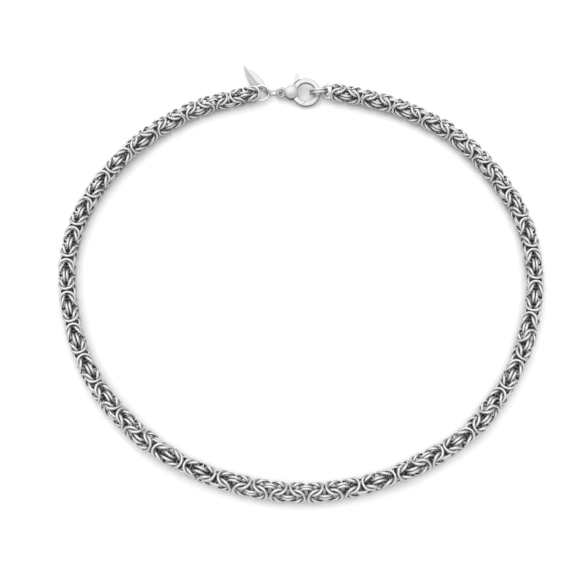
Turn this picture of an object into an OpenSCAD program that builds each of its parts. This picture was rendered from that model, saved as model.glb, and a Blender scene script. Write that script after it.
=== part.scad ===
// A byzantine chain necklace, closed at its clasp and lying flat in an oval on a table.
// Millimetres. The origin is the middle of the neck opening, on the table. +Z is up,
// and +Y runs from the middle of the neck opening to the clasp.

/* [Loop] */
// Width of the loop, between the middles of the chain at its two sides
loop_w = 165.6; // [160:0.2:175]
// Depth of the loop, from the middle of the chain at its front to the line of the clasp
loop_d = 152.6; // [148:0.2:165]

/* [Chain] */
// Thickness of the chain across its flats
chain_w = 6.3; // [5.8:0.1:6.3]
// Where the chain starts, as a distance round the loop from its far point
chain_start = 14.9; // [14.9:0.1:20]
// Where the chain ends, as a distance round the loop from its far point
chain_end = 481.5; // [470:0.5:481.5]

/* [Rings] */
// Wire of the chain's left end ring and of the clasp ring
left_wire = 0.95; // [0.8:0.05:0.95]
// Wire of the pair of rings at the chain's right end
right_wire = 0.9; // [0.8:0.05:0.9]
// Wire of the pair of rings that the hook closes on
hook_wire = 0.85; // [0.7:0.05:0.85]
// Wire of the charm's small ring
charm_wire = 0.55; // [0.4:0.05:0.55]

/* [Clasp] */
// Inner radius of the hook's ring
hook_inner = 3.55; // [3.55:0.05:3.7]
// Outer radius of the hook's ring
hook_outer = 5.4; // [5.2:0.05:5.4]
// Thickness of the hook and the lever
clasp_t = 1.9; // [1.6:0.05:1.9]
// Radius of the round boss over the pivot
boss_r = 2.55; // [2.5:0.05:2.6]
// Height of the boss from dome to dome
boss_h = 4.2; // [4:0.1:4.3]
// How far the clasp leans towards the front of the loop, in degrees
clasp_lean = 15; // [10:1:15]
// How far the lever is turned, in degrees
lever_turn = 0; // [0:1:25]

/* [Charm] */
// Length of the leaf from its hole to its tip
leaf_len = 14.4; // [13:0.2:14.4]
// Radius of the hole in the leaf's stem end
leaf_hole_r = 0.65; // [0.6:0.05:0.7]

/* [Hidden] */
$fn = 64;

// The loop is an oval. Distances round it are measured clockwise, seen from above,
// from its far point, and the table turns a distance into the oval's angle.
half_w = loop_w / 2;
half_d = loop_d / 2;
oval_steps = 720;
oval_step = 360 / oval_steps;
function oval(a) = [half_w * sin(a), half_d * cos(a)];
function step_len(i) = norm(oval((i + 1) * oval_step) - oval(i * oval_step));
angle_at = [
    for (i = 0, d = 0; i <= oval_steps; d = d + step_len(i), i = i + 1)
        [d, i * oval_step]
];

// The chain wanders a little off the oval. Columns: distance round, shift inwards.
wander = [
    [0, 1.3], [24, 1.1], [46, 0.2], [62, -0.5], [84, -0.3], [107, -0.5],
    [122, 0], [148, 0.6], [172, 0.1], [188, -0.5], [210, 0.1], [248, -0.3],
    [296, 0.1], [360, 0.4], [390, -0.6], [428, 0], [456, 0.3], [476, 1.2],
    [500, 1.3]
];
function heading(a) =
    let (v = [half_w * cos(a), -half_d * sin(a)]) v / norm(v);
function inward(a) = let (h = heading(a)) [h.y, -h.x];
function chain_mid(d) =
    let (a = lookup(d, angle_at)) oval(a) + inward(a) * lookup(d, wander);

// The chain is a tube of twelve sides, with a flat underneath.
tube_sides = 12;
tube_rings = 40;
side_turn = 360 / tube_sides;
tube_r = chain_w / 2 / cos(side_turn / 2);
tube_pitch = (chain_end - chain_start) / (tube_rings - 1);
function tube_ring(d) =
    let (m = chain_mid(d), v = inward(lookup(d, angle_at)))
    [
        for (j = [0:tube_sides - 1])
            let (t = (j + 0.5) * side_turn)
            [
                m.x + v.x * tube_r * cos(t),
                m.y + v.y * tube_r * cos(t),
                chain_w / 2 + tube_r * sin(t)
            ]
    ];
function tube_side(i, j) =
    let (k = (j + 1) % tube_sides, a = i * tube_sides, b = (i + 1) * tube_sides)
    [a + j, b + j, b + k, a + k];

// Columns: x, y, z, turn about X, then turn about Z, of a ring's or a pair's middle.
hook_rings_at = [7.15, 74.28, 3.56, -66.5, 5.5];
right_pair_at = [11.32, 74.41, 3.57, 53, -5];
left_ring_at = [-14.64, 73.72, 3.3, 17, 4];
clasp_ring_at = [-9.96, 74.12, 3.31, 108, 0];
charm_ring_at = [-12.27, 75.19, 1.62, -66, 121.5];
hook_ring_r = 3.2;
right_ring_r = 2.6;
left_ring_r = 2.85;
clasp_ring_r = 2.95;
charm_ring_r = 1.45;
hook_pair_half = 0.46;
right_pair_half = 0.5;

// The clasp's own frame has its origin at the pivot, X along it and Z along its axis.
pivot_at = [-3.3, half_d - 1.8, 2.35];
hook_mid = [5.55, 0];
dome_drop = 0.7;
dome_r = (boss_r * boss_r + dome_drop * dome_drop) / (2 * dome_drop);
eye_mid_x = -3.75;
eye_r = 1.5;
eye_wire = 1.2;
edge = 0.2;
gap = 0.12;
split_r = 6.4;
hub_r = 1.98;
hub_h = 1.08;
slot_h = 1.2;
slot_r = hub_r + gap;
pin_r = 0.6;
bore_r = 0.66;
tongue_t = 1.0;
tab_l = 1.1;
tab_r = 3.15;
tab_top = 7.5;
neck_l = 0.5;
neck_r = 1.7;
neck_top = 4.2;
arm_l = 0.6;
arm_r = 1.3;

bright = "gainsboro";
dull = "silver";

// One ring of round wire about Z.
module ring(mean_r, wire) {
    rotate_extrude()
        translate([mean_r, 0])
            circle(d = wire);
}

// Puts a ring at its row of place and turns, moved along its own axis.
module ring_at(row, mean_r, wire, along = 0) {
    translate([row[0], row[1], row[2]])
        rotate([row[3], 0, row[4]])
            translate([0, 0, along])
                ring(mean_r, wire);
}

// Everything of the clasp is placed by this.
module clasp_frame() {
    translate(pivot_at)
        rotate([clasp_lean, 0, 0])
            children();
}

// A wedge about the pivot, between two angles less than 180 degrees apart.
module wedge(r, h, from, to) {
    mid = (from + to) / 2;
    far = 3 * r;
    translate([0, 0, -h / 2])
        linear_extrude(h)
            polygon([
                [0, 0],
                far * [cos(from), sin(from)],
                far * [cos(mid), sin(mid)],
                far * [cos(to), sin(to)]
            ]);
}

// The flat ring of the hook with its edges eased.
module hook_band() {
    h = clasp_t / 2;
    translate([hook_mid.x, hook_mid.y, 0])
        rotate_extrude($fn = 96)
            polygon([
                [hook_inner, edge - h], [hook_inner + edge, -h],
                [hook_outer - edge, -h], [hook_outer, edge - h],
                [hook_outer, h - edge], [hook_outer - edge, h],
                [hook_inner + edge, h], [hook_inner, h - edge]
            ]);
}

// The boss is domed on both faces.
module boss() {
    dome_mid = boss_h / 2 - dome_r;
    intersection() {
        cylinder(r = boss_r, h = boss_h, center = true);
        translate([0, 0, dome_mid])
            sphere(r = dome_r);
        translate([0, 0, -dome_mid])
            sphere(r = dome_r);
    }
}

// The space inside the boss in which the lever's hub and arms turn.
module lever_slot() {
    cylinder(r = slot_r, h = slot_h, center = true);
    intersection() {
        cylinder(r = boss_r + 0.4, h = slot_h, center = true);
        wedge(boss_r + 0.4, slot_h + 1, -68, 9);
    }
    intersection() {
        cylinder(r = boss_r + 0.4, h = slot_h, center = true);
        wedge(boss_r + 0.4, slot_h + 1, 47, 112);
    }
}

// The stretch of the hook's ring that belongs to the gate, or is left open for it.
module gate_zone(r) {
    intersection() {
        cylinder(r = r, h = 2 * clasp_t, center = true);
        translate([0, -10, 0])
            cube([20, 20, 2 * clasp_t], center = true);
    }
}

// The notch beside the boss where the lever's tab stands.
module tab_notch() {
    translate([-6, 1.2, -clasp_t])
        cube([6 + neck_r + gap, 5, 2 * clasp_t]);
}

module clasp_body() {
    color(bright)
    clasp_frame() {
        difference() {
            union() {
                difference() {
                    hook_band();
                    gate_zone(split_r + gap);
                    tab_notch();
                }
                boss();
                translate([eye_mid_x, 0, 0])
                    ring(eye_r, eye_wire);
            }
            lever_slot();
        }
        cylinder(r = pin_r, h = slot_h + 0.4, center = true);
    }
}

// The closed end of the hook's ring, from the boss to the split.
module gate() {
    difference() {
        intersection() {
            hook_band();
            gate_zone(split_r);
        }
        cylinder(r = boss_r + gap, h = 2 * clasp_t, center = true);
    }
}

// The thumb tab beside the boss.
module tab() {
    h = clasp_t / 2;
    round_r = (tab_r - tab_l) / 2;
    difference() {
        union() {
            translate([neck_l, 1, -h])
                cube([neck_r - neck_l, neck_top - 1, clasp_t]);
            translate([0, 0, -h])
                linear_extrude(clasp_t)
                    polygon([
                        [neck_l, neck_top - 1.4], [neck_r, neck_top - 1.4],
                        [tab_r, neck_top], [tab_r, tab_top - round_r],
                        [tab_l, tab_top - round_r], [tab_l, neck_top + 0.4]
                    ]);
            translate([tab_l + round_r, tab_top - round_r, 0])
                cylinder(r = round_r, h = clasp_t, center = true);
        }
        cylinder(r = boss_r + gap, h = 2 * clasp_t, center = true);
        translate([hook_mid.x, hook_mid.y, 0])
            cylinder(r = hook_outer + gap, h = 2 * clasp_t, center = true);
    }
}

// The thin tongues that join the hub to the gate and the tab, inside the boss.
module tongues() {
    reach = boss_r + 0.5;
    intersection() {
        cylinder(r = reach, h = tongue_t, center = true);
        union() {
            wedge(reach, tongue_t, -56, -26);
            translate([arm_l, 0, -tongue_t / 2])
                cube([arm_r - arm_l, reach, tongue_t]);
        }
    }
}

module clasp_lever() {
    color(bright)
    clasp_frame()
        rotate([0, 0, lever_turn])
            difference() {
                union() {
                    cylinder(r = hub_r, h = hub_h, center = true);
                    tongues();
                    gate();
                    tab();
                }
                cylinder(r = bore_r, h = 2 * clasp_t, center = true);
            }
}

module chain() {
    last = (tube_rings - 1) * tube_sides;
    color(dull)
    polyhedron(
        points = [
            for (i = [0:tube_rings - 1])
                each tube_ring(chain_start + i * tube_pitch)
        ],
        faces = [
            [for (j = [0:tube_sides - 1]) j],
            for (i = [0:tube_rings - 2], j = [0:tube_sides - 1])
                tube_side(i, j),
            [for (j = [0:tube_sides - 1]) last + tube_sides - 1 - j]
        ]
    );
}

module left_end_ring() {
    color(dull)
    ring_at(left_ring_at, left_ring_r, left_wire);
}

module clasp_ring() {
    color(bright)
    ring_at(clasp_ring_at, clasp_ring_r, left_wire);
}

module charm_ring() {
    color(bright)
    ring_at(charm_ring_at, charm_ring_r, charm_wire);
}

module hook_ring_front() {
    color(dull)
    ring_at(hook_rings_at, hook_ring_r, hook_wire, -hook_pair_half);
}

module hook_ring_back() {
    color(dull)
    ring_at(hook_rings_at, hook_ring_r, hook_wire, hook_pair_half);
}

module right_end_ring_front() {
    color(dull)
    ring_at(right_pair_at, right_ring_r, right_wire, right_pair_half);
}

module right_end_ring_back() {
    color(dull)
    ring_at(right_pair_at, right_ring_r, right_wire, -right_pair_half);
}

// The leaf, with its origin at the hole in its stem end and X towards its tip.
// Columns: place along the leaf, shift to its left, half width, half thickness.
leaf_rows = [
    [-0.09, 0.00, 0.20, 0.15], [-0.07, 0.00, 0.70, 0.35], [0.00, 0.00, 1.10, 0.42],
    [0.08, 0.00, 1.15, 0.45], [0.16, 0.30, 1.50, 0.52], [0.24, 0.60, 2.00, 0.58],
    [0.32, 0.75, 2.25, 0.60], [0.42, 0.65, 2.25, 0.60], [0.52, 0.55, 2.15, 0.58],
    [0.62, 0.50, 1.90, 0.55], [0.72, 0.45, 1.50, 0.50], [0.80, 0.38, 1.05, 0.42],
    [0.88, 0.25, 0.65, 0.34], [0.95, 0.05, 0.35, 0.26], [1.00, -0.20, 0.12, 0.12]
];
leaf_sides = 12;
leaf_at = [-13, 76.38, 1.58];
leaf_turn = 128;
leaf_dip = 4;
function leaf_ring(row) = [
    for (j = [0:leaf_sides - 1])
        let (t = j * 360 / leaf_sides)
        [row[0] * leaf_len, row[1] + row[2] * cos(t), row[3] * sin(t)]
];

module leaf_charm() {
    last = (len(leaf_rows) - 1) * leaf_sides;
    color(bright)
    translate(leaf_at)
        rotate([0, leaf_dip, leaf_turn])
            difference() {
                polyhedron(
                    points = [for (row = leaf_rows) each leaf_ring(row)],
                    faces = [
                        [for (j = [0:leaf_sides - 1]) j],
                        for (i = [0:len(leaf_rows) - 2], j = [0:leaf_sides - 1])
                            let (
                                k = (j + 1) % leaf_sides,
                                a = i * leaf_sides,
                                b = a + leaf_sides
                            )
                            [a + j, b + j, b + k, a + k],
                        [for (j = [0:leaf_sides - 1]) last + leaf_sides - 1 - j]
                    ]
                );
                cylinder(r = leaf_hole_r, h = 4, center = true, $fn = 32);
            }
}

chain();
left_end_ring();
clasp_ring();
charm_ring();
leaf_charm();
clasp_body();
clasp_lever();
hook_ring_front();
hook_ring_back();
right_end_ring_front();
right_end_ring_back();
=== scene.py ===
"""A byzantine chain necklace, closed at its clasp and lying in an oval on a table.

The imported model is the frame. The chain's rings and the leaf charm are modelled here,
and the clasp and the rings at its two ends get their metals. Named lengths and those in
the tables are in millimetres, and MM turns them into Blender's metres. Angles are in degrees.
"""

import math

import bmesh
import bpy
import numpy as np
from bpy.props import FloatProperty, FloatVectorProperty, IntProperty, PointerProperty
from mathutils import Matrix, Vector


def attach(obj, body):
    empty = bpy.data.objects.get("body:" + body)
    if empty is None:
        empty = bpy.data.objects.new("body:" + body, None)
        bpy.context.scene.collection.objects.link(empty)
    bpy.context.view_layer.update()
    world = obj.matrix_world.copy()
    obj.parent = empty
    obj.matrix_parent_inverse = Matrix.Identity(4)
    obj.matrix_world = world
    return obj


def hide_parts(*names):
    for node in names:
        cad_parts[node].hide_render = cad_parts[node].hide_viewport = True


bl_info = {
    "name": "Byzantine Chain Necklace",
    "version": (1, 0, 0),
    "blender": (4, 5, 0),
    "location": "3D View > Sidebar > Necklace",
    "description": "Builds a silver byzantine chain necklace round its packed model",
    "category": "Add Mesh",
}

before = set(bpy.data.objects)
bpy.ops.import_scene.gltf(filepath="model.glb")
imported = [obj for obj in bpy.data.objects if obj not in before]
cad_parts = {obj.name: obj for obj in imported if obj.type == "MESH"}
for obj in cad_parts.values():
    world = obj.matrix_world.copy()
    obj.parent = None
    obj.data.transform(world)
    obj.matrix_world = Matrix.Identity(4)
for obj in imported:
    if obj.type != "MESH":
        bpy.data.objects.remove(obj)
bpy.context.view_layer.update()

MM = 0.001
ROOT_BODY = "necklace"

# The oval's arc length is read from this many steps.
OVAL_STEPS = 3600
# The chain's direction is read between two points this far to each side.
HEADING_STEP = 0.2
# The knots of the chain, counted from the right of the clasp.
FIRST_KNOT = 2
LAST_KNOT = 79
# The chain wanders off the oval. Columns: distance round it, shift inwards.
WANDER = np.array([
    (0, 1.3), (24, 1.25), (46, 0.4), (62, -0.5), (84, -0.35), (107, -0.85),
    (122, -0.3), (148, 0.6), (172, 0.25), (188, -0.45), (210, 0.1), (248, -0.2),
    (275, 0.25), (300, 0.45), (325, 0.75), (355, 1), (392, -0.6), (428, 0),
    (456, 0.3), (476, 1.2), (500, 1.3),
])
# The chain is twisted as it lies. Columns: knot, roll in degrees.
ROLL = np.array([
    (1, -28), (9, -28), (12, -17), (16, -6), (19, 0), (22.2, 4), (25.3, 90),
    (27.4, 92), (30.4, 172), (32.4, 184), (35.4, 266), (37, 272), (38.6, 302),
    (40, 306), (44.2, 304), (45.7, 280), (47.7, 266), (49.9, 242), (50.6, 208),
    (52.6, 204), (53.6, 216), (55.6, 190), (58, 180), (66, 180), (69, 192),
    (70.4, 206), (71.6, 243), (75.5, 248), (77.6, 262), (78.6, 298), (80, 302),
])
# The knots are pulled apart in places and pushed together in others.
# Columns: knot, shift along the chain.
SLIDE = np.array([
    (1, -0.4), (12, 0.8), (20, 0.4), (26, 0.65), (35, 0), (45, -0.2),
    (53, -1.5), (59, -1.4), (65, -0.7), (71, -1), (78, 0),
])
# The three pairs of rings of one knot, before it is rolled.
# Columns: pair, distance along, distance out, lean in degrees.
PAIRS = (
    ("first", 0, 1.54, 24),
    ("folded", -0.47, 1.54, 66),
    ("last", 2.76, 0.55, 0),
)
# The chain's middle lies at this height, and higher where the chain stands on a corner.
LYING_HEIGHT = 3.14
CORNER_LIFT = 0.44
CORNER_SHARPNESS = 0.7
# Each ring lies a little differently.
LOOSE_SHIFT = 0.04
LOOSE_TILT = 0.02
# Then each is pushed clear of the rings near it, step by step, and drawn home.
# Rings further than REACH along the chain never touch.
REACH = 14
SETTLING_STEPS = 140
CLEARANCE = 0.015
PUSH_SHARE = 0.4
TWIST_SHARE = 0.8
HOME_SHARE = 0.004
# The nearest points of two rings are looked for in this many places.
PLACES_ON_RING = 48
NEVER_ZERO = 1e-6
# A direction closer to Y than this needs another helper for its frame.
NEAR_Y = 0.7
# A subdivided cage keeps these shares of its size, so it is made larger.
CAGE_RADIUS_KEPT = 0.966
CAGE_WIRE_KEPT = 0.735
CAGE_SEGMENTS = 12
CAGE_SIDES = 4
# Space round a ring is counted up to this far.
WIDEST_SPACE = 1.0
# Nearer the chain's line than this, a point counts less and less as facing outwards.
NEAR_LINE = 0.1
# The rings beyond the chain's first and last knots. Its own rings settle against them.
RIGHT_RINGS = ("hook_ring_front", "hook_ring_back", "right_end_ring_front", "right_end_ring_back")
LEFT_RINGS = ("left_end_ring", "clasp_ring")

# The clasp's pivot and its faces lean this far from upright, towards the front.
CLASP_LEAN = 15
CLASP_AXIS = (0, -math.sin(math.radians(CLASP_LEAN)), math.cos(math.radians(CLASP_LEAN)))

# The leaf's blade. Columns: place along it, shift to its left, half width, height.
LEAF_ROWS = (
    (0.075, 0.00, 0.62, 0.05), (0.11, 0.08, 0.95, 0.08), (0.16, 0.28, 1.45, 0.12),
    (0.24, 0.58, 1.95, 0.18), (0.32, 0.72, 2.18, 0.22), (0.42, 0.65, 2.20, 0.24),
    (0.52, 0.55, 2.08, 0.22), (0.62, 0.50, 1.84, 0.18), (0.72, 0.45, 1.46, 0.12),
    (0.80, 0.38, 1.03, 0.06), (0.88, 0.25, 0.62, 0.02), (0.95, 0.05, 0.32, 0.00),
    (0.99, -0.16, 0.12, 0.00),
)
LEAF_ACROSS = 8
# The middle of the eyelet, how far the leaf's tip dips, and which way it points.
LEAF_AT = (-13, 76.38, 1.58)
LEAF_DIP = 4
LEAF_TURN = 128
LEAF_THICKNESS = 0.62
# The blade's rise from its midrib to its left and right edges, and how low its midrib is.
# All three are shares of its half width.
LEAF_RISE_LEFT = 0.3
LEAF_RISE_RIGHT = -0.04
LEAF_MIDRIB_DROP = 0.15
EYELET_RADIUS = 0.9
EYELET_WIRE_RADIUS = 0.25

# Where the chain is lighter: clear of its neighbours, far from its line and facing outwards.
# The darker rest is partly oxide film and partly painted shade, in recesses and where rings touch.
# Columns: painted value, share left at the start, and the value's start and end,
# in millimetres for the first two.
CLEAN_AND_LIT = (
    ("space", 0.0, 0.0, 0.22),
    ("distance", 0.0, 1.1, 2.2),
    ("facing", 0.1, -0.45, 0.3),
)
# Painted shade: the sides of the lying chain are darker than its top.
# Share left on the sides, and the start and end of the surface's lean upwards.
SHADED_SIDES = (0.2, 0.0, 0.5)
# Where the three colours of the oxide film and painted shade lie along the share of clean, lit
# metal.
OXIDE_AND_SHADE_END = 0.08
TARNISH_AND_SHADE_MIDDLE = 0.45
SILVER_START = 0.8
# Where the bright silver of the clasp, the end rings and the leaf reaches its full colour, past the
# painted shade of its sides.
BRIGHT_START = 0.75
# Where the film and painted shade lie, the silver is also rougher than clean silver.
OXIDE_ROUGHNESS = 0.6
WALL_ROUGHNESS = 0.4
# How squarely a surface faces up or along the clasp's axis, from all painted shade to none.
# On the clasp's walls the shade is partly a film as well.
UNSHADED_RING = (0.0, 0.5)
UNSHADED_CLASP = (0.2, 0.8)
UNSHADED_LEAF = (0.8, 0.97)
UP = (0, 0, 1)
# The uneven edge of the film and painted shade, as a share of clean metal, and the depth of the
# finest marks.
OXIDE_STAIN = 0.14
WALL_STAIN = 0.12
MARK_DEPTH = 0.02

# The light of the room, from the floor to the ceiling.
# Columns: sine of the angle above the floor, colour.
ROOM_TONES = (
    (0.06, (0.08, 0.08, 0.08)),
    (0.3, (0.55, 0.55, 0.555)),
    (0.6, (1.0, 1.0, 1.0)),
)
ROOM_STRENGTH = 1.12
# The middle of the ceiling is a little in front of the necklace.
CEILING = (0.0, -0.1, 0.995)
BACKDROP = (0.93, 0.93, 0.93)
# A sun stands in for the window. Its width is the angle that the window fills.
WINDOW_ENERGY = 1.25
WINDOW_WIDTH = 84
WINDOW_DIRECTION = (0.2, -0.4, -0.87)
CAMERA_AT = (-2.29, -120.44, 322.93)
CAMERA_TILT = 19.5
CAMERA_LENS = 59.0
CAMERA_SENSOR = 36.0
TABLE_SIZE = 4000
# The table lies this far below the necklace.
TABLE_GAP = 0.05


class NecklaceSizes(bpy.types.PropertyGroup):
    """Sizes of the loop, of the chain's rings and of the leaf."""

    loop_width: FloatProperty(
        name="Loop Width",
        description="Distance between the middles of the chain at its two sides",
        default=165.6 * MM, min=0.15, max=0.18, subtype="DISTANCE", unit="LENGTH",
    )
    loop_depth: FloatProperty(
        name="Loop Depth",
        description="Distance from the chain at the front to the line of the clasp",
        default=152.6 * MM, min=0.14, max=0.17, subtype="DISTANCE", unit="LENGTH",
    )
    knot_pitch: FloatProperty(
        name="Knot Pitch",
        description="Distance from one knot of the chain to the next",
        default=6.055 * MM, min=0.0058, max=0.0063, subtype="DISTANCE", unit="LENGTH",
    )
    chain_start: FloatProperty(
        name="Chain Start",
        description="Distance round the loop from its far point to knot zero",
        default=3.4 * MM, min=0.0, max=0.01, subtype="DISTANCE", unit="LENGTH",
    )
    ring_radius: FloatProperty(
        name="Ring Radius",
        description="Radius of a chain ring at the middle of its wire",
        default=2.5 * MM, min=0.0024, max=0.0026, subtype="DISTANCE", unit="LENGTH",
    )
    ring_wire: FloatProperty(
        name="Ring Wire",
        description="Thickness of the wire of the chain's rings",
        default=1.05 * MM, min=0.0009, max=0.00106, subtype="DISTANCE", unit="LENGTH",
    )
    leaf_length: FloatProperty(
        name="Leaf Length",
        description="Length of the leaf charm from its eyelet to its tip",
        default=14.4 * MM, min=0.013, max=0.0145, subtype="DISTANCE", unit="LENGTH",
    )


class NecklaceFinish(bpy.types.PropertyGroup):
    """Colours and polish of the silver and the table."""

    silver: FloatVectorProperty(
        name="Silver",
        description="Colour of clean silver",
        default=(0.645, 0.645, 0.642), size=3, min=0.0, max=1.0, subtype="COLOR",
    )
    bright: FloatVectorProperty(
        name="Bright Silver",
        description="Colour of the polished silver of the clasp and charm",
        default=(0.475, 0.475, 0.472), size=3, min=0.0, max=1.0, subtype="COLOR",
    )
    wire: FloatVectorProperty(
        name="Wire",
        description="Colour of the silver of the rings at the chain's two ends",
        default=(0.66, 0.66, 0.657), size=3, min=0.0, max=1.0, subtype="COLOR",
    )
    # The darkest colour of the chain's recesses and contacts: partly oxide, partly painted shade.
    oxide_and_shade: FloatVectorProperty(
        name="Oxide",
        description="Colour of the dark film in the recesses of the chain",
        default=(0.165, 0.165, 0.166), size=3, min=0.0, max=1.0, subtype="COLOR",
    )
    # Between oxide and clean silver on the chain, partly painted shade. It is also the painted
    # shade on the leaf's tilted half.
    tarnish_and_shade: FloatVectorProperty(
        name="Tarnish",
        description="Colour of silver that is half rubbed clean",
        default=(0.475, 0.475, 0.473), size=3, min=0.0, max=1.0, subtype="COLOR",
    )
    # The colour of the painted shade on the sides of the clasp and the end rings; on the clasp's
    # walls it is partly a film.
    wall_film_and_shade: FloatVectorProperty(
        name="Wall Film",
        description="Colour of the film on the sides of the clasp and of the end rings",
        default=(0.16, 0.16, 0.16), size=3, min=0.0, max=1.0, subtype="COLOR",
    )
    chain_roughness: FloatProperty(
        name="Chain Roughness",
        description="Roughness of the open silver of the chain",
        default=0.46, min=0.0, max=1.0, subtype="FACTOR",
    )
    clasp_roughness: FloatProperty(
        name="Clasp Roughness",
        description="Roughness of the polished silver of the clasp, end rings and charm",
        default=0.36, min=0.0, max=1.0, subtype="FACTOR",
    )
    table: FloatVectorProperty(
        name="Table",
        description="Colour of the table",
        default=(0.93, 0.93, 0.93), size=3, min=0.0, max=1.0, subtype="COLOR",
    )
    noise_seed: IntProperty(
        name="Noise Seed",
        description="Seed of the small differences between the rings",
        default=7, min=0,
    )


# Small tools that several pieces use


def deselect_all():
    """Leave nothing selected before a primitive is added."""
    for other in bpy.context.selected_objects:
        other.select_set(False)


def select_only(obj):
    """Make obj the one selected and active object."""
    deselect_all()
    obj.select_set(True)
    bpy.context.view_layer.objects.active = obj


def apply_modifiers(obj):
    """Apply every modifier of obj, in order."""
    select_only(obj)
    for modifier in list(obj.modifiers):
        bpy.ops.object.modifier_apply(modifier=modifier.name)


def seat(obj):
    """Put the place of obj into its mesh."""
    select_only(obj)
    bpy.ops.object.transform_apply(location=True, rotation=True, scale=True)


def new_mesh_object(name, vertices, faces):
    """A smooth mesh object from numpy arrays of points and of four-sided faces."""
    mesh = bpy.data.meshes.new(name)
    mesh.from_pydata(vertices.tolist(), [], faces.tolist())
    mesh.update()
    mesh.polygons.foreach_set("use_smooth", [True] * len(mesh.polygons))
    obj = bpy.data.objects.new(name, mesh)
    bpy.context.scene.collection.objects.link(obj)
    return obj


def paint(obj, material):
    """Give obj one material all over."""
    obj.data.materials.clear()
    obj.data.materials.append(material)


# The line of the chain


def eased(table, x):
    """Read a two-column table at x with eased steps between its rows."""
    row = int(np.clip(np.searchsorted(table[:, 0], x, side="right") - 1, 0, len(table) - 2))
    low, high = table[row], table[row + 1]
    share = float(np.clip((x - low[0]) / (high[0] - low[0]), 0, 1))
    return low[1] + (high[1] - low[1]) * share * share * (3 - 2 * share)


def averaged(table, knot):
    """Read a two-column table at a knot and its two neighbours, and take the mean."""
    return float(np.mean([np.interp(knot + step, table[:, 0], table[:, 1]) for step in (-1, 0, 1)]))


class ChainLine:
    """The line of the chain's middle, by distance round the loop, in millimetres."""

    def __init__(self, sizes):
        self.half = np.array([sizes.loop_width, sizes.loop_depth]) / 2 / MM
        self.angles = np.linspace(0, 2 * math.pi, OVAL_STEPS + 1)
        points = np.column_stack([
            self.half[0] * np.sin(self.angles),
            self.half[1] * np.cos(self.angles),
        ])
        steps = np.linalg.norm(np.diff(points, axis=0), axis=1)
        self.distances = np.concatenate([[0], np.cumsum(steps)])

    def point(self, distance):
        """The middle of the chain, seen from above."""
        angle = np.interp(distance % self.distances[-1], self.distances, self.angles)
        heading = np.array([self.half[0] * math.cos(angle), -self.half[1] * math.sin(angle)])
        heading = heading / np.linalg.norm(heading)
        on_oval = np.array([self.half[0] * math.sin(angle), self.half[1] * math.cos(angle)])
        inward = np.array([heading[1], -heading[0]])
        return on_oval + inward * eased(WANDER, distance)

    def axes(self, distance):
        """Unit vectors along the chain, out of the loop and up."""
        along = self.point(distance + HEADING_STEP) - self.point(distance - HEADING_STEP)
        along = along / np.linalg.norm(along)
        return np.array([
            [along[0], along[1], 0],
            [-along[1], along[0], 0],
            [0, 0, 1],
        ])


def turn_about_x(degrees):
    """Rotation matrix about X."""
    angle = math.radians(degrees)
    return np.array([
        [1, 0, 0],
        [0, math.cos(angle), -math.sin(angle)],
        [0, math.sin(angle), math.cos(angle)],
    ])


def resting_height(roll):
    """Height of the chain's middle when it rests on the table at this roll."""
    return LYING_HEIGHT + CORNER_LIFT * abs(math.sin(math.radians(2 * roll))) ** CORNER_SHARPNESS


def knot_rings(line, sizes, knot):
    """The six rings of a knot, each as its middle and normal, and the chain's own there."""
    rings = []
    pitch = sizes.knot_pitch / MM
    start = sizes.chain_start / MM + knot * pitch + eased(SLIDE, knot)
    for pair, along, out, lean in PAIRS:
        roll = averaged(ROLL, knot + along / pitch)
        turn = turn_about_x(90 * knot + roll)
        leaning = math.radians(lean)
        axes = line.axes(start + along)
        middle = line.point(start + along)
        core = np.array([middle[0], middle[1], resting_height(roll)])
        for side in (1, -1):
            if pair == "folded":
                offset = np.array([0, side * out, 0])
                normal = np.array([math.cos(leaning), side * math.sin(leaning), 0])
            else:
                offset = np.array([0, 0, side * out])
                normal = np.array([-side * math.sin(leaning), 0, math.cos(leaning)])
            rings.append((core + (turn @ offset) @ axes, (turn @ normal) @ axes, core, axes[0]))
    return rings


def node_ring(name):
    """A ring that is a CAD node: its middle, its normal, its radius and its wire."""
    points = np.array([v.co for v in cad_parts[name].data.vertices]) / MM
    middle = (points.min(axis=0) + points.max(axis=0)) / 2
    spokes = np.unique(points.round(4), axis=0) - middle
    normal = np.linalg.svd(spokes, full_matrices=False)[2][2]
    wire = np.ptp(spokes @ normal)
    return middle, normal, np.linalg.norm(spokes, axis=1).max() - wire / 2, wire


def ring_axes(normal):
    """A frame whose third axis is the ring's normal."""
    helper = np.array([0, 1, 0]) if abs(normal[1]) < NEAR_Y else np.array([0, 0, 1])
    first = np.cross(helper, normal)
    first = first / np.linalg.norm(first)
    return np.array([first, np.cross(normal, first), normal])


def nearest_points(middles, normals, radii, first, second):
    """The points where pairs of rings come closest, and how far apart they are."""
    helper = np.where(np.abs(normals[:, 1:2]) < NEAR_Y, [[0.0, 1.0, 0.0]], [[0.0, 0.0, 1.0]])
    across = np.cross(helper, normals)
    across /= np.linalg.norm(across, axis=1, keepdims=True)
    beside = np.cross(normals, across)
    turns = np.linspace(0, 2 * math.pi, PLACES_ON_RING, endpoint=False)[None, :, None]
    spokes = np.cos(turns) * across[first][:, None] + np.sin(turns) * beside[first][:, None]
    on_first = middles[first][:, None] + radii[first][:, None, None] * spokes
    away = on_first - middles[second][:, None]
    height = np.einsum("ijk,ik->ij", away, normals[second])
    flat = away - height[..., None] * normals[second][:, None]
    spread = np.linalg.norm(flat, axis=2)
    apart = np.hypot(height, spread - radii[second][:, None])
    best = apart.argmin(axis=1)
    rows = np.arange(len(first))
    outward = flat[rows, best] / np.maximum(spread[rows, best], NEVER_ZERO)[:, None]
    on_second = middles[second] + radii[second][:, None] * outward
    return on_first[rows, best], on_second, apart[rows, best]


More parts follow.
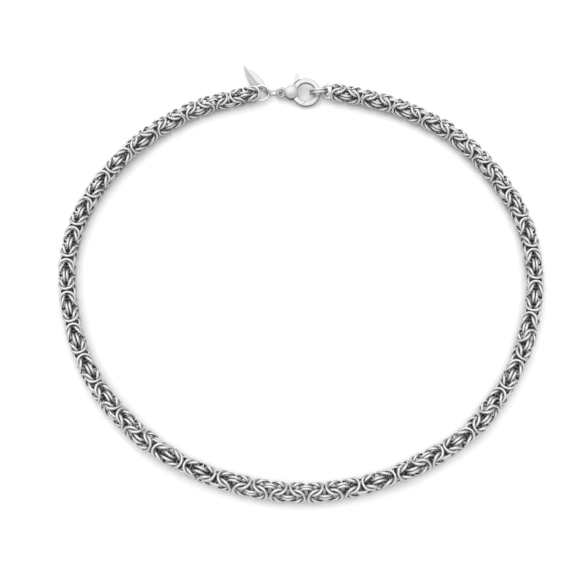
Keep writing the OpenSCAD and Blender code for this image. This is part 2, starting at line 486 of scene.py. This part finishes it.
def settle(rings, ends, sizes, seed):
    """Loosen the chain's rings a little, then push the ones that touch clear of each other.

    The rings of the two ends come before and after them, and stay where they are.
    """
    radius, wire = sizes.ring_radius / MM, sizes.ring_wire / MM
    before, after = ends
    dice = np.random.default_rng(seed)
    home = np.array([ring[0] for ring in rings])
    facing = np.array([ring[1] for ring in rings])
    home += dice.normal(0, LOOSE_SHIFT, home.shape)
    facing += dice.normal(0, LOOSE_TILT, facing.shape)
    facing /= np.linalg.norm(facing, axis=1, keepdims=True)
    home = np.array([*[e[0] for e in before], *home, *[e[0] for e in after]])
    facing = np.array([*[e[1] for e in before], *facing, *[e[1] for e in after]])
    own = slice(len(before), len(before) + len(rings))
    radii, wires = np.full(len(home), radius), np.full(len(home), wire)
    radii[:own.start], radii[own.stop:] = [e[2] for e in before], [e[2] for e in after]
    wires[:own.start], wires[own.stop:] = [e[3] for e in before], [e[3] for e in after]
    close = [
        (i, j) for i in range(len(home)) for j in range(i + 1, min(len(home), i + REACH))
        if np.linalg.norm(home[i] - home[j]) < radii[i] + radii[j] + wire
    ]
    first, second = np.array(close).T
    free = np.zeros((len(home), 1))
    free[own] = 1
    needed = (wires[first] + wires[second]) / 2 + CLEARANCE
    middles, normals = home.copy(), facing.copy()
    for _ in range(SETTLING_STEPS):
        on_first, on_second, apart = nearest_points(middles, normals, radii, first, second)
        lack = np.maximum(needed - apart, 0) / 2
        push = (on_second - on_first) / np.maximum(apart, NEVER_ZERO)[:, None] * lack[:, None]
        shift, twist = np.zeros_like(middles), np.zeros_like(middles)
        np.add.at(shift, first, -push)
        np.add.at(shift, second, push)
        np.add.at(twist, first, np.cross(on_first - middles[first], -push))
        np.add.at(twist, second, np.cross(on_second - middles[second], push))
        middles = middles + free * (PUSH_SHARE * shift + HOME_SHARE * (home - middles))
        normals = normals + free * np.cross(TWIST_SHARE * twist / radius**2, normals)
        normals += free * HOME_SHARE * (facing - normals)
        normals /= np.linalg.norm(normals, axis=1, keepdims=True)
        # A ring that has sunk into the table is lifted back onto it.
        lowest = middles[:, 2] - radii * np.sqrt(1 - normals[:, 2] ** 2) - wires / 2
        middles[:, 2] += free[:, 0] * np.maximum(-lowest, 0) / 2
    middles, normals = middles[own], normals[own]
    return [(middles[i], normals[i], *rings[i][2:]) for i in range(len(rings))]


def ring_master(sizes):
    """One ring of round wire about Z. Returns its points and faces, in millimetres."""
    deselect_all()
    bpy.ops.mesh.primitive_torus_add(
        major_segments=CAGE_SEGMENTS, minor_segments=CAGE_SIDES,
        major_radius=sizes.ring_radius / MM / CAGE_RADIUS_KEPT,
        minor_radius=sizes.ring_wire / MM / 2 / CAGE_WIRE_KEPT,
    )
    ring = bpy.context.object
    smoother = ring.modifiers.new("Round wire", "SUBSURF")
    smoother.levels = smoother.render_levels = 1
    apply_modifiers(ring)
    mesh = ring.data
    points = np.array([v.co for v in mesh.vertices])
    faces = np.array([list(p.vertices) for p in mesh.polygons])
    bpy.data.objects.remove(ring)
    return points, faces


def open_space(points, own, rings, sizes):
    """How far each point of one ring is from the nearest other ring."""
    radius, wire = sizes.ring_radius / MM, sizes.ring_wire / MM
    nearest = np.full(len(points), WIDEST_SPACE)
    for index in range(max(0, own - REACH), min(len(rings), own + REACH + 1)):
        if index == own:
            continue
        middle, normal = rings[index][:2]
        away = points - middle
        height = away @ normal
        spread = np.sqrt(np.maximum((away * away).sum(axis=1) - height * height, 0))
        nearest = np.minimum(nearest, np.hypot(height, spread - radius) - wire / 2)
    return nearest


def outward_view(points, ring, sizes):
    """Each point's distance from the chain's line, and how squarely it faces away from it."""
    middle, normal, core, along = ring
    spokes = points - middle
    flat = spokes - np.outer(spokes @ normal, normal)
    flat *= sizes.ring_radius / MM / np.linalg.norm(flat, axis=1, keepdims=True)
    facing = spokes - flat
    facing /= np.linalg.norm(facing, axis=1, keepdims=True)
    out = points - core
    out = out - np.outer(out @ along, along)
    distance = np.linalg.norm(out, axis=1)
    return distance, (facing * out).sum(axis=1) / np.maximum(distance, NEAR_LINE)


# Materials


def node_material(name):
    """A new node material. Returns it with its nodes, links and shader."""
    material = bpy.data.materials.new(name)
    material.use_nodes = True
    nodes, links = material.node_tree.nodes, material.node_tree.links
    shader = nodes["Principled BSDF"]
    return material, nodes, links, shader


def object_noise(nodes, links, scale, detail):
    """Noise on the object's own coordinates."""
    coordinates = nodes.new("ShaderNodeTexCoord")
    noise = nodes.new("ShaderNodeTexNoise")
    noise.inputs["Scale"].default_value = scale
    noise.inputs["Detail"].default_value = detail
    links.new(coordinates.outputs["Object"], noise.inputs["Vector"])
    return noise


def value_range(nodes, links, source, low, high, start=0.0, end=1.0):
    """Map a value from start..end to low..high, and no further."""
    mapped = nodes.new("ShaderNodeMapRange")
    mapped.inputs["From Min"].default_value = start
    mapped.inputs["From Max"].default_value = end
    mapped.inputs["To Min"].default_value = low
    mapped.inputs["To Max"].default_value = high
    links.new(source, mapped.inputs["Value"])
    return mapped.outputs["Result"]


def attribute_value(nodes, name):
    """One of the chain's painted values."""
    attribute = nodes.new("ShaderNodeAttribute")
    attribute.attribute_name = name
    return attribute.outputs["Fac"]


def surface_normal(nodes):
    """The direction that each point of the surface faces, in the object's own axes."""
    return nodes.new("ShaderNodeTexCoord").outputs["Normal"]


def combined(nodes, links, operation, first, second):
    """Two values, put together by a Math node."""
    math_node = nodes.new("ShaderNodeMath")
    math_node.operation = operation
    links.new(first, math_node.inputs[0])
    links.new(second, math_node.inputs[1])
    return math_node.outputs["Value"]


def colour_ramp(nodes, links, share, stops):
    """Colours that change with a share, from the first stop to the last."""
    ramp = nodes.new("ShaderNodeValToRGB")
    first, last = ramp.color_ramp.elements[0], ramp.color_ramp.elements[1]
    first.position, last.position = stops[0][0], stops[-1][0]
    first.color, last.color = (*stops[0][1], 1.0), (*stops[-1][1], 1.0)
    for position, colour in stops[1:-1]:
        ramp.color_ramp.elements.new(position).color = (*colour, 1.0)
    links.new(share, ramp.inputs["Fac"])
    return ramp.outputs["Color"]


def fine_bump(nodes, links, shader, scale, strength):
    """Fine marks of tumbling and wear."""
    noise = object_noise(nodes, links, scale, detail=3.0)
    bump = nodes.new("ShaderNodeBump")
    bump.inputs["Strength"].default_value = strength
    bump.inputs["Distance"].default_value = MARK_DEPTH * MM
    links.new(noise.outputs["Fac"], bump.inputs["Height"])
    links.new(bump.outputs["Normal"], shader.inputs["Normal"])


def oxide_and_shade_silver(finish):
    """Silver that is darker in its recesses, where rings touch and on its sides: partly a dark
    film, partly painted shade.
    """
    material, nodes, links, shader = node_material("chain_silver")
    shader.inputs["Metallic"].default_value = 1.0
    split = nodes.new("ShaderNodeSeparateXYZ")
    links.new(surface_normal(nodes), split.inputs["Vector"])
    # Painted shade: the sides, facing away from up, are darker than the top.
    least, start, end = SHADED_SIDES
    clean = value_range(nodes, links, split.outputs["Z"], least, 1.0, start, end)
    # Lighter where the surface faces outwards, lies near the outside and is clear of its
    # neighbours.
    # The darkening of the rest is partly oxide and partly painted shade.
    for name, least, start, end in CLEAN_AND_LIT:
        value = attribute_value(nodes, name)
        reached = value_range(nodes, links, value, least, 1.0, start, end)
        clean = combined(nodes, links, "MULTIPLY", clean, reached)
    stain = object_noise(nodes, links, scale=2200.0, detail=4.0)
    uneven = value_range(nodes, links, stain.outputs["Fac"], -OXIDE_STAIN, OXIDE_STAIN)
    share = combined(nodes, links, "ADD", clean, uneven)
    # The colour runs from dark oxide with painted shade, through tarnish, to clean silver.
    colour = colour_ramp(nodes, links, share, (
        (OXIDE_AND_SHADE_END, finish.oxide_and_shade), (TARNISH_AND_SHADE_MIDDLE, finish.tarnish_and_shade), (SILVER_START, finish.silver),
    ))
    links.new(colour, shader.inputs["Base Color"])
    polish = value_range(nodes, links, share, OXIDE_ROUGHNESS, finish.chain_roughness)
    links.new(polish, shader.inputs["Roughness"])
    fine_bump(nodes, links, shader, scale=4200.0, strength=0.2)
    return material


def side_shaded_silver(name, finish, colour, film, axis, edges):
    """Bright silver, painted darker on the sides than on what faces along the axis, one way or the
    other.

    The darker sides are painted shade, in the colour film. On the clasp's walls they are partly a
    film as well.
    """
    material, nodes, links, shader = node_material(name)
    shader.inputs["Metallic"].default_value = 1.0
    along = nodes.new("ShaderNodeVectorMath")
    along.operation = "DOT_PRODUCT"
    along.inputs[1].default_value = axis
    links.new(surface_normal(nodes), along.inputs[0])
    level = nodes.new("ShaderNodeMath")
    level.operation = "ABSOLUTE"
    links.new(along.outputs["Value"], level.inputs[0])
    flat = value_range(nodes, links, level.outputs["Value"], 0.0, 1.0, *edges)
    stain = object_noise(nodes, links, scale=1500.0, detail=4.0)
    uneven = value_range(nodes, links, stain.outputs["Fac"], -WALL_STAIN, WALL_STAIN)
    share = combined(nodes, links, "ADD", flat, uneven)
    # Painted shade: the colour darkens to the film colour on the sides.
    rubbed = colour_ramp(nodes, links, share, ((0.0, film), (BRIGHT_START, colour)))
    links.new(rubbed, shader.inputs["Base Color"])
    polish = value_range(nodes, links, share, WALL_ROUGHNESS, finish.clasp_roughness)
    links.new(polish, shader.inputs["Roughness"])
    fine_bump(nodes, links, shader, scale=5000.0, strength=0.12)
    return material


def table_white(finish):
    """The table's plain white."""
    material, _, _, shader = node_material("table_white")
    shader.inputs["Base Color"].default_value = (*finish.table, 1.0)
    shader.inputs["Roughness"].default_value = 0.85
    shader.inputs["Specular IOR Level"].default_value = 0.1
    return material


# The pieces


class NECKLACE_OT_chain(bpy.types.Operator):
    """Build the chain, ring by ring, round the loop"""

    bl_idname = "necklace.chain"
    bl_label = "Chain"

    def execute(self, context):
        sizes = context.scene.necklace_sizes
        finish = context.scene.necklace_finish
        line = ChainLine(sizes)
        rings = []
        for knot in range(FIRST_KNOT, LAST_KNOT + 1):
            rings += knot_rings(line, sizes, knot)
        ends = [[node_ring(name) for name in names] for names in (RIGHT_RINGS, LEFT_RINGS)]
        # The left end ring takes the place of the last knot's last pair.
        rings = settle(rings[:-2], ends, sizes, finish.noise_seed)
        points, faces = ring_master(sizes)
        placed, spaces, distances, facings = [], [], [], []
        for own, ring in enumerate(rings):
            ring_points = ring[0] + points @ ring_axes(ring[1])
            distance, facing = outward_view(ring_points, ring, sizes)
            placed.append(ring_points)
            spaces.append(open_space(ring_points, own, rings, sizes))
            distances.append(distance)
            facings.append(facing)
        all_faces = np.concatenate([faces + n * len(points) for n in range(len(rings))])
        chain = new_mesh_object("chain_rings", np.concatenate(placed) * MM, all_faces)
        # These values darken the chain where rings touch, deep inside and facing inwards: partly
        # oxide, partly painted shade.
        for name, values in (("space", spaces), ("distance", distances), ("facing", facings)):
            attribute = chain.data.attributes.new(name, "FLOAT", "POINT")
            attribute.data.foreach_set("value", np.concatenate(values).astype(np.float32))
        paint(chain, oxide_and_shade_silver(finish))
        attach(chain, ROOT_BODY)
        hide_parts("chain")
        return {"FINISHED"}


class NECKLACE_OT_end_rings(bpy.types.Operator):
    """Finish the single rings and pairs at the two ends of the chain"""

    bl_idname = "necklace.end_rings"
    bl_label = "End Rings"

    def execute(self, context):
        finish = context.scene.necklace_finish
        # Painted shade: the sides of the wires, away from up, are darker than their tops.
        wire = side_shaded_silver("ring_silver", finish, finish.wire, finish.wall_film_and_shade, UP, UNSHADED_RING)
        for name in (*LEFT_RINGS, "charm_ring", *RIGHT_RINGS):
            paint(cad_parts[name], wire)
        return {"FINISHED"}


class NECKLACE_OT_clasp(bpy.types.Operator):
    """Finish the clasp's body and its lever"""

    bl_idname = "necklace.clasp"
    bl_label = "Clasp"

    def execute(self, context):
        finish = context.scene.necklace_finish
        for name in ("clasp_body", "clasp_lever"):
            # The walls, turned away from the clasp's axis, are darker: painted shade, and partly a
            # film.
            metal = side_shaded_silver(
                f"{name}_silver", finish, finish.bright, finish.wall_film_and_shade, CLASP_AXIS, UNSHADED_CLASP
            )
            paint(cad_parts[name], metal)
        return {"FINISHED"}


class NECKLACE_OT_leaf(bpy.types.Operator):
    """Model the leaf charm: a blade folded along its midrib, and an eyelet"""

    bl_idname = "necklace.leaf"
    bl_label = "Leaf Charm"

    def execute(self, context):
        sizes = context.scene.necklace_sizes
        finish = context.scene.necklace_finish
        length = sizes.leaf_length
        deselect_all()
        bpy.ops.mesh.primitive_grid_add(
            x_subdivisions=len(LEAF_ROWS) - 1, y_subdivisions=LEAF_ACROSS, size=2 * MM
        )
        leaf = bpy.context.object
        leaf.name = "leaf_blade"
        self.shape_blade(leaf, length)
        thickness = leaf.modifiers.new("Thickness", "SOLIDIFY")
        thickness.thickness = LEAF_THICKNESS * MM
        thickness.offset = 0
        smoother = leaf.modifiers.new("Soft edges", "SUBSURF")
        smoother.levels = smoother.render_levels = 2
        apply_modifiers(leaf)
        leaf.data.shade_smooth()
        deselect_all()
        bpy.ops.mesh.primitive_torus_add(
            major_segments=40, minor_segments=14,
            major_radius=EYELET_RADIUS * MM, minor_radius=EYELET_WIRE_RADIUS * MM,
        )
        eyelet = bpy.context.object
        eyelet.data.shade_smooth()
        leaf.select_set(True)
        bpy.context.view_layer.objects.active = leaf
        bpy.ops.object.join()
        leaf.matrix_world = (
            Matrix.Translation(Vector(LEAF_AT) * MM)
            @ Matrix.Rotation(math.radians(LEAF_TURN), 4, "Z")
            @ Matrix.Rotation(math.radians(LEAF_DIP), 4, "Y")
        )
        seat(leaf)
        # Painted shade: the tilted left half of the blade and its edges are darker, in the tarnish
        # colour.
        metal = side_shaded_silver("leaf_silver", finish, finish.bright, finish.tarnish_and_shade, UP, UNSHADED_LEAF)
        paint(leaf, metal)
        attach(leaf, ROOT_BODY)
        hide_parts("leaf_charm")
        return {"FINISHED"}

    def shape_blade(self, leaf, length):
        """Draw each row of the grid to the leaf's outline, folded up along its midrib.

        The grid is 2 mm square, so it runs from -1 to 1 across the blade.
        """
        select_only(leaf)
        columns = LEAF_ACROSS + 1
        bpy.ops.object.mode_set(mode="EDIT")
        mesh = bmesh.from_edit_mesh(leaf.data)
        mesh.verts.ensure_lookup_table()
        grid = sorted(mesh.verts, key=lambda v: (round(v.co.x / MM, 3), v.co.y))
        for number, (along, shift, half_width, height) in enumerate(LEAF_ROWS):
            row = grid[number * columns:(number + 1) * columns]
            for vertex in row:
                across = vertex.co.y / MM
                fold = LEAF_RISE_LEFT * max(0, across) + LEAF_RISE_RIGHT * max(0, -across)
                vertex.co.x = along * length
                vertex.co.y = (shift + half_width * across) * MM
                vertex.co.z = (height + (fold - LEAF_MIDRIB_DROP) * half_width) * MM
        bmesh.update_edit_mesh(leaf.data)
        bpy.ops.object.mode_set(mode="OBJECT")


class NECKLACE_OT_stage(bpy.types.Operator):
    """Set the table, the light and the camera"""

    bl_idname = "necklace.stage"
    bl_label = "Stage"

    def execute(self, context):
        finish = context.scene.necklace_finish
        deselect_all()
        bpy.ops.mesh.primitive_plane_add(size=TABLE_SIZE * MM, location=(0, 0, -TABLE_GAP * MM))
        table = bpy.context.object
        table.name = "table"
        seat(table)
        paint(table, table_white(finish))
        self.add_sun()
        self.add_world()
        self.add_camera()
        context.scene.view_settings.view_transform = "Standard"
        return {"FINISHED"}

    def add_sun(self):
        """A broad soft light from behind the necklace, a little to its left."""
        data = bpy.data.lights.new("window", "SUN")
        data.energy = WINDOW_ENERGY
        data.angle = math.radians(WINDOW_WIDTH)
        sun = bpy.data.objects.new("window", data)
        sun.rotation_euler = Vector(WINDOW_DIRECTION).to_track_quat("-Z", "Y").to_euler()
        bpy.context.scene.collection.objects.link(sun)

    def add_world(self):
        """A pale ceiling over a room that is dark near the floor."""
        world = bpy.data.worlds.new("pale_room")
        bpy.context.scene.world = world
        world.use_nodes = True
        nodes, links = world.node_tree.nodes, world.node_tree.links
        place = nodes.new("ShaderNodeTexCoord")
        facing = nodes.new("ShaderNodeVectorMath")
        facing.operation = "DOT_PRODUCT"
        facing.inputs[1].default_value = CEILING
        links.new(place.outputs["Generated"], facing.inputs[0])
        tone = colour_ramp(nodes, links, facing.outputs["Value"], ROOM_TONES)
        room = nodes["Background"]
        links.new(tone, room.inputs["Color"])
        room.inputs["Strength"].default_value = ROOM_STRENGTH
        # Beyond the table's edge there is a pale backdrop. It lights nothing.
        backdrop = nodes.new("ShaderNodeBackground")
        backdrop.inputs["Color"].default_value = (*BACKDROP, 1.0)
        seen = nodes.new("ShaderNodeLightPath")
        either = nodes.new("ShaderNodeMixShader")
        links.new(seen.outputs["Is Camera Ray"], either.inputs["Fac"])
        links.new(room.outputs["Background"], either.inputs[1])
        links.new(backdrop.outputs["Background"], either.inputs[2])
        links.new(either.outputs["Shader"], nodes["World Output"].inputs["Surface"])

    def add_camera(self):
        """The camera stands high in front of the necklace and looks down at it."""
        data = bpy.data.cameras.new("camera")
        data.sensor_width = CAMERA_SENSOR
        data.lens = CAMERA_LENS
        camera = bpy.data.objects.new("camera", data)
        camera.location = Vector(CAMERA_AT) * MM
        camera.rotation_euler = (math.radians(CAMERA_TILT), 0, 0)
        bpy.context.scene.collection.objects.link(camera)
        bpy.context.scene.camera = camera


class NECKLACE_PT_panel(bpy.types.Panel):
    """The necklace's operators and sizes, in the 3D view's sidebar"""

    bl_label = "Necklace"
    bl_idname = "NECKLACE_PT_panel"
    bl_space_type = "VIEW_3D"
    bl_region_type = "UI"
    bl_category = "Necklace"

    def draw(self, context):
        layout = self.layout
        for operator in OPERATORS:
            layout.operator(operator.bl_idname)
        for group in (context.scene.necklace_sizes, context.scene.necklace_finish):
            box = layout.box()
            for name in group.__annotations__:
                box.prop(group, name)


OPERATORS = (
    NECKLACE_OT_chain,
    NECKLACE_OT_end_rings,
    NECKLACE_OT_clasp,
    NECKLACE_OT_leaf,
    NECKLACE_OT_stage,
)
CLASSES = (NecklaceSizes, NecklaceFinish, *OPERATORS, NECKLACE_PT_panel)


def register():
    """Register the classes, and give the scene the necklace's sizes and finish."""
    for cls in CLASSES:
        bpy.utils.register_class(cls)
    bpy.types.Scene.necklace_sizes = PointerProperty(type=NecklaceSizes)
    bpy.types.Scene.necklace_finish = PointerProperty(type=NecklaceFinish)


def unregister():
    """Take away what register added."""
    del bpy.types.Scene.necklace_finish
    del bpy.types.Scene.necklace_sizes
    for cls in reversed(CLASSES):
        bpy.utils.unregister_class(cls)


def main():
    """Build every piece and the stage."""
    register()
    bpy.ops.necklace.chain()
    bpy.ops.necklace.end_rings()
    bpy.ops.necklace.clasp()
    bpy.ops.necklace.leaf()
    bpy.ops.necklace.stage()


if __name__ == "__main__":
    main()
